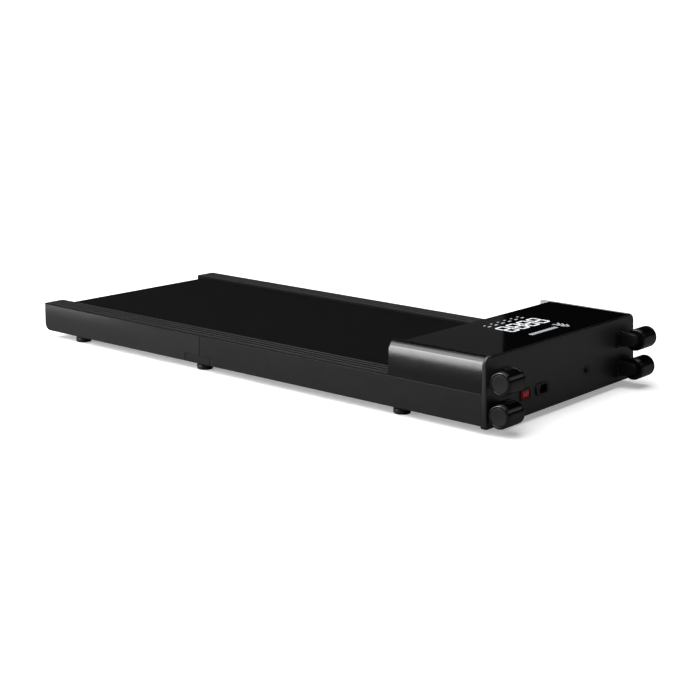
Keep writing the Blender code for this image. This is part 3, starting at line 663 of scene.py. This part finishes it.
NUMERAL_X, NUMERAL_Y, NUMERAL_PITCH = 0.4455, 0.0105, 0.0350
numerals.make("display_numerals", "chassis", "display_glass", Pitch=NUMERAL_PITCH, Tall=0.0420, Wide=0.0270,
              Stroke=0.0038, Start=(NUMERAL_X, NUMERAL_Y - 1.5 * NUMERAL_PITCH, panel_top + LIT_LIFT))

# %% [markdown]
# ## Small marks on the panel
# Lamps, labels, ticks and the colon are rounded plates of different sizes, so one small tree serves them
# all: it puts its plate on every vertex of its host mesh, and that mesh is just a list of places. The
# arrowheads are two slanted plates each. All of them are generic, and spell nothing.

# %% Draw the small marks
def mark_bench(name, material):
    """Rounded flat marks."""
    marks = Bench(name, Long=0.006, Wide=0.003, Round=0.0012)
    shape = plate(marks, marks.given("Long"), marks.given("Wide"), marks.given("Round"))
    copies = marks.add("GeometryNodeInstanceOnPoints", None, {"Points": marks.given(), "Instance": shape})
    return marks.close(copies, material)


def across_panel(x, first, last, count):
    """Evenly spaced points across the panel."""
    gap = (last - first) / (count - 1)
    return [(x, first + gap * i, panel_top + LIT_LIFT) for i in range(count)]


LINE_Y = (-0.0470, 0.0655)
bright_marks, dim_marks = mark_bench("bright_marks", lit.material), mark_bench("dim_marks", dim.material)
dim_marks.make("display_lamps", "chassis", "display_glass", across_panel(0.3985, *LINE_Y, 6),
               Long=0.0034, Wide=0.0056)
dim_marks.make("display_labels", "chassis", "display_glass", across_panel(0.4095, *LINE_Y, 6),
               Long=0.0040, Wide=0.0088)
dim_marks.make("panel_ticks", "chassis", "display_glass", across_panel(0.5020, -0.0500, 0.0345, 13),
               Long=0.0096, Wide=0.0040, Round=0.0010)
colon = [(NUMERAL_X + dx, NUMERAL_Y, panel_top + LIT_LIFT) for dx in (-0.0085, 0.0085)]
bright_marks.make("display_colon", "chassis", "display_glass", colon,
                  Long=0.0046, Wide=0.0046, Round=0.0022)

chevrons = Bench("arrowheads", Arm=0.012, Stroke=0.0032)
arm = plate(chevrons, chevrons.given("Arm"), chevrons.given("Stroke"), 0.0008)
slant, lean = chevrons.given("Arm") * 0.3, math.radians(40)
head = join(chevrons, [shift(chevrons, arm, 0.0, slant * side, -side * lean) for side in (-1, 1)])
heads = chevrons.add("GeometryNodeInstanceOnPoints", None, {"Points": chevrons.given(), "Instance": head})
chevrons.close(heads, dim.material)
chevrons.make("panel_arrowheads", "chassis", "display_glass",
              [(0.4900 + 0.0095 * i, 0.0610, panel_top + LIT_LIFT) for i in range(3)], Arm=0.0155)

# %% [markdown]
# ## Turned pieces
# Rollers and feet are round, so each is an outline of (place along the axis, radius) pairs that is spun.
# A roller has a hard tyre with a groove near each end, rounded rims, and a matt cap sunk into its outer
# end. Ninety-six steps keep the rim round in a close view.

# %% Spin the rollers
STEPS = 96


def spin(name, axis, centre, outline, material):
    """A closed turned piece; the outline starts and ends on the axis."""
    mesh = bmesh.new()
    sideways = {"X": (Vector((0, 1, 0)), Vector((0, 0, 1))), "Y": (Vector((0, 0, 1)), Vector((1, 0, 0))),
                "Z": (Vector((1, 0, 0)), Vector((0, 1, 0)))}[axis]
    along = sideways[0].cross(sideways[1])
    base = Vector(centre)
    rings = []
    for at, radius in outline:
        if radius == 0:
            rings.append([mesh.verts.new(base + along * at)])
            continue
        turns = [2 * math.pi * i / STEPS for i in range(STEPS)]
        rings.append([mesh.verts.new(base + along * at + sideways[0] * (radius * math.cos(t))
                                     + sideways[1] * (radius * math.sin(t))) for t in turns])
    for first, second in zip(rings, rings[1:]):
        for i in range(STEPS):
            j = (i + 1) % STEPS
            corners = [first[i % len(first)], first[j % len(first)]]
            corners += [second[j % len(second)], second[i % len(second)]]
            # where a ring is a single point on the axis, two corners are one and the face is a triangle
            mesh.faces.new(list(dict.fromkeys(corners)))
    bmesh.ops.recalc_face_normals(mesh, faces=mesh.faces)
    data = bpy.data.meshes.new(name)
    mesh.to_mesh(data)
    mesh.free()
    data.materials.append(material)
    for polygon in data.polygons:
        polygon.use_smooth = True
    data.set_sharp_from_angle(angle=math.radians(30))
    piece = bpy.data.objects.new(name, data)
    bpy.context.scene.collection.objects.link(piece)
    return piece


def rim(at, radius, soft, outwards, steps=4):
    """A rounded corner of a turned outline, from the barrel to the end face."""
    points = []
    for i in range(steps + 1):
        t = math.pi / 2 * i / steps
        points.append((at - outwards * soft * (1 - math.sin(t)), radius - soft * (1 - math.cos(t))))
    return points


CAP_R, CAP_SINK = 0.0166, 0.0007
for side, sign in (("left", 1), ("right", -1)):
    for level in ("upper", "lower"):
        node = f"{side}_{level}_roller"
        low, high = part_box(node)
        radius = (high.x - low.x) / 2
        centre = ((low.x + high.x) / 2, 0.0, (low.z + high.z) / 2)
        outer, inner = (high.y, low.y) if sign > 0 else (low.y, high.y)
        bore, depth = 0.0047, outer - sign * 0.0037
        shape = [(outer - sign * CAP_SINK, 0.0), (outer - sign * CAP_SINK, CAP_R), (outer, CAP_R + 0.0006)]
        shape += rim(outer, radius, 0.0020, sign)[::-1]
        for groove in (0.006, 0.045):
            at = outer - sign * groove
            shape += [(at + sign * 0.0006, radius), (at + sign * 0.0003, radius - 0.0004)]
            shape += [(at - sign * 0.0003, radius - 0.0004), (at - sign * 0.0006, radius)]
        shape += rim(inner, radius, 0.0020, -sign)
        shape += [(inner, bore), (depth, bore), (depth, 0.0)]
        tyre = spin(f"{node}_tyre", "Y", centre, shape, roller_finish)
        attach(tyre, f"{node}_body")
        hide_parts(node)
        face = outer - sign * (CAP_SINK - 0.0001)
        disc = [(face - sign * 0.0006, 0.0), (face - sign * 0.0006, CAP_R - 0.0004)]
        disc += [(face + sign * 0.0002, CAP_R - 0.0004), (face + sign * 0.0004, CAP_R - 0.0010)]
        disc += [(face + sign * 0.0002, CAP_R - 0.0030), (face + sign * 0.0002, 0.0)]
        cap = spin(f"{node}_cap", "Y", centre, disc, cap_finish)
        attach(cap, f"{node}_body")

# %% [markdown]
# ## Rubber feet
# A foot is a squat rubber block, widest just above the floor, with a groove round its sole and a hollow in
# the middle for its screw. The function that spun the rollers spins it about an upright axis.

# %% Spin the feet
for side in ("left", "right"):
    for place in ("rear", "middle", "front"):
        node = f"{side}_{place}_foot"
        low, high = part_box(node)
        centre = ((low.x + high.x) / 2, (low.y + high.y) / 2, 0.0)
        radius, top = (high.x - low.x) / 2, high.z
        shape = [(0.0030, 0.0), (0.0030, 0.0058), (0.0, 0.0064)]
        shape += [(0.0, radius - 0.0042), (0.0007, radius - 0.0038)]
        shape += [(0.0007, radius - 0.0028), (0.0, radius - 0.0024)]
        shape += [(0.0003, radius - 0.0010), (0.0012, radius - 0.0002), (0.0022, radius)]
        shape += [(0.0080, radius), (0.0094, radius - 0.0004), (0.0104, radius - 0.0014)]
        shape += [(0.0120, radius - 0.0036), (0.0150, radius - 0.0048), (top, radius - 0.0053), (top, 0.0)]
        foot = spin(f"{node}_rubber", "Z", centre, shape, rubber.material)
        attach(foot, "chassis")
        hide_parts(node)

# %% [markdown]
# ## Screws
# The covers are held by small pan-head screws with a cross recess. One head is built in Geometry Nodes:
# a squashed ball, less a cross of two bars. It is copied to each point with a random turn from a
# fixed seed, because no two screws in a real machine stop at the same angle.

# %% Build the screw
def screw_bench(name, material):
    """Pan-head screws with a cross recess."""
    screws = Bench(name, Radius=0.0030, Height=0.0013, Tilt=(0.0, 0.0, 0.0), Seed=4)
    radius, height = screws.given("Radius"), screws.given("Height")
    ball = screws.add("GeometryNodeMeshUVSphere", None, {"Segments": 20, "Rings": 10, "Radius": 1.0})
    size = screws.add("ShaderNodeCombineXYZ", None, {"X": radius, "Y": radius, "Z": height})
    dome = screws.add("GeometryNodeTransform", None, {"Geometry": ball, "Scale": size})
    bars = []
    for long, short in ((1.25, 0.28), (0.28, 1.25)):
        size = screws.add("ShaderNodeCombineXYZ", None,
                          {"X": radius * long, "Y": radius * short, "Z": height * 1.2})
        bar = screws.add("GeometryNodeMeshCube", None, {"Size": size})
        lift = screws.add("ShaderNodeCombineXYZ", None, {"Z": height * 1.05})
        bars.append(screws.add("GeometryNodeTransform", None, {"Geometry": bar, "Translation": lift}))
    head = screws.add("GeometryNodeMeshBoolean", {"operation": "DIFFERENCE"},
                      {"Mesh 1": dome, "Mesh 2": join(screws, bars)})
    spun = screws.add("FunctionNodeRandomValue", {"data_type": "FLOAT"},
                      {"Min": 0.0, "Max": 1.5, "Seed": screws.given("Seed")}, out=1)
    twist = screws.add("ShaderNodeCombineXYZ", None, {"Z": spun})
    copies = screws.add("GeometryNodeInstanceOnPoints", None,
                        {"Points": screws.given(), "Instance": head, "Rotation": screws.given("Tilt")})
    copies = screws.add("GeometryNodeRotateInstances", None, {"Instances": copies, "Rotation": twist})
    return screws.close(copies, material)


zinc_screws = screw_bench("underside_screws", zinc_steel)
black_screws = screw_bench("face_screws", black_steel)
print("a screw is made by", len(zinc_screws.tree.nodes), "nodes")

# %% [markdown]
# ## Where the screws go
# A screw sits where one piece laps over another: along the lower flange of the skirts, at both ends of the
# belly pan, and at the top and bottom of each roller bracket. Their heads look down below the machine and
# forward on its front, so the tree is used twice, and the places follow from the boxes of the solids.

# %% Set the screws
DOWN, FORWARD = (math.pi, 0.0, 0.0), (0.0, math.pi / 2, 0.0)
SKIRT_INSET, PAN_INSET, SUNK = 0.0065, 0.010, 0.0001
skirt_low, skirt_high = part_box("left_rear_skirt")
flange_y = skirt_high.y - SKIRT_INSET
below = []
for x in (-0.575, -0.450, -0.330, -0.210, -0.060, 0.060, 0.180, 0.300, 0.410, 0.500):
    below += [(x, sign * flange_y, skirt_low.z + SUNK) for sign in (-1, 1)]
for x in (pan_low.x + PAN_INSET, pan_high.x - PAN_INSET):
    below += [(x, y, pan_low.z + SUNK) for y in (-0.215, -0.110, 0.0, 0.110, 0.215)]
zinc_screws.make("underside_screws", "chassis", "bare_steel", below, Tilt=DOWN)

FACE_LEAN, BRACKET_FOOT, BRACKET_INSET, SCREW_REACH = 0.0640, 0.0036, 0.0065, 0.0095
face_points = []
for side in ("left", "right"):
    for level in ("upper", "lower"):
        low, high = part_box(f"{side}_{level}_bracket")
        middle = (low.z + high.z) / 2
        foot_x = low.x + FACE_LEAN * (high.z - middle) + BRACKET_FOOT
        y = math.copysign(min(abs(low.y), abs(high.y)) + BRACKET_INSET, low.y)
        face_points += [(foot_x - FACE_LEAN * dz, y, middle + dz) for dz in (-SCREW_REACH, SCREW_REACH)]
black_screws.make("bracket_screws", "chassis", "bare_steel", face_points, Tilt=FORWARD,
                  Radius=0.0027, Height=0.0012)

# %% [markdown]
# ## Switch marks
# Every mains switch carries a bar for on and a ring for off. They are printed on the rocker's two halves,
# so they ride on it and tip with it. The face is a shallow V that rests tilted about the switch's axis, so
# a place on it is worked out in the rocker's own frame first, and is then turned with it.

# %% Print the switch marks
joint = next(j for j in frame["record"]["behaviour"]["joints"] if j["name"] == "power_switch_tip")
axis_at = Vector(joint["pos_m"])
HALF_SLOPE, REST_TILT, VALLEY = math.radians(5.7), math.radians(8.0), 0.0020


def on_rocker(along):
    """A point on the rocker's face at a distance from its valley, and the way the face looks there."""
    flat = Vector((VALLEY + abs(along) * math.tan(HALF_SLOPE), along, 0.0))
    lean = REST_TILT - math.copysign(HALF_SLOPE, along)
    return axis_at + Matrix.Rotation(REST_TILT, 3, "Z") @ flat, lean


def face_forward(bench, shape):
    """Put a flat printed shape on every point, turned to face along X with a given turn."""
    copies = bench.add("GeometryNodeInstanceOnPoints", None,
                       {"Points": bench.given(), "Instance": shape, "Rotation": bench.given("Turn")})
    return bench.close(copies, ink.material)


bar_mark = Bench("printed_bar", Turn=(0.0, 0.0, 0.0))
face_forward(bar_mark, plate(bar_mark, 0.0038, 0.0006, 0.0002, 0.0001))
ring_mark = Bench("printed_ring", Turn=(0.0, 0.0, 0.0))
loop = ring_mark.add("GeometryNodeCurvePrimitiveCircle", None, {"Resolution": 40, "Radius": 0.0015})
section = ring_mark.add("GeometryNodeCurvePrimitiveQuadrilateral", None,
                        {"Width": 0.0003, "Height": 0.0003})
ring = ring_mark.add("GeometryNodeCurveToMesh", None, {"Curve": loop, "Profile Curve": section})
face_forward(ring_mark, ring)

for bench, name, along in ((bar_mark, "switch_on_mark", 0.0040), (ring_mark, "switch_off_mark", -0.0040)):
    point, lean = on_rocker(along)
    bench.make(name, "power_rocker", "switch_red", [point], Turn=(0.0, math.pi / 2, lean))

# %% [markdown]
# ## The inlet's blades
# The three blades of the inlet are brass, pressed from flat strip. Each one is the thin plate of the
# display again, made thicker and turned to stand on its edge, with its tip just short of the opening.

# %% Press the inlet's blades
opening = frame["record"]["physics"]["openings"][0]["box_m"]
inlet_low, inlet_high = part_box("power_inlet")
inlet_y, inlet_z = (inlet_low.y + inlet_high.y) / 2, (inlet_low.z + inlet_high.z) / 2
BLADE_LONG, BLADE_TALL, BLADE_THICK = 0.0104, 0.0044, 0.0024
blades = Bench("pressed_blades", Long=BLADE_LONG, Tall=BLADE_TALL, Thick=BLADE_THICK)
blade = plate(blades, blades.given("Long"), blades.given("Tall"), 0.0006, blades.given("Thick"))
on_edge = blades.add("GeometryNodeInstanceOnPoints", None,
                     {"Points": blades.given(), "Instance": blade, "Rotation": (math.pi / 2, 0.0, 0.0)})
blades.close(on_edge, brass)
blade_x = opening[0][0] - 0.0003 - BLADE_LONG / 2
blades.make("inlet_blades", "chassis", "bare_steel",
            [(blade_x, inlet_y + dy + BLADE_THICK / 2, inlet_z + dz)
             for dy, dz in ((-0.0070, -0.0020), (0.0070, -0.0020), (0.0, 0.0020))])

# %% [markdown]
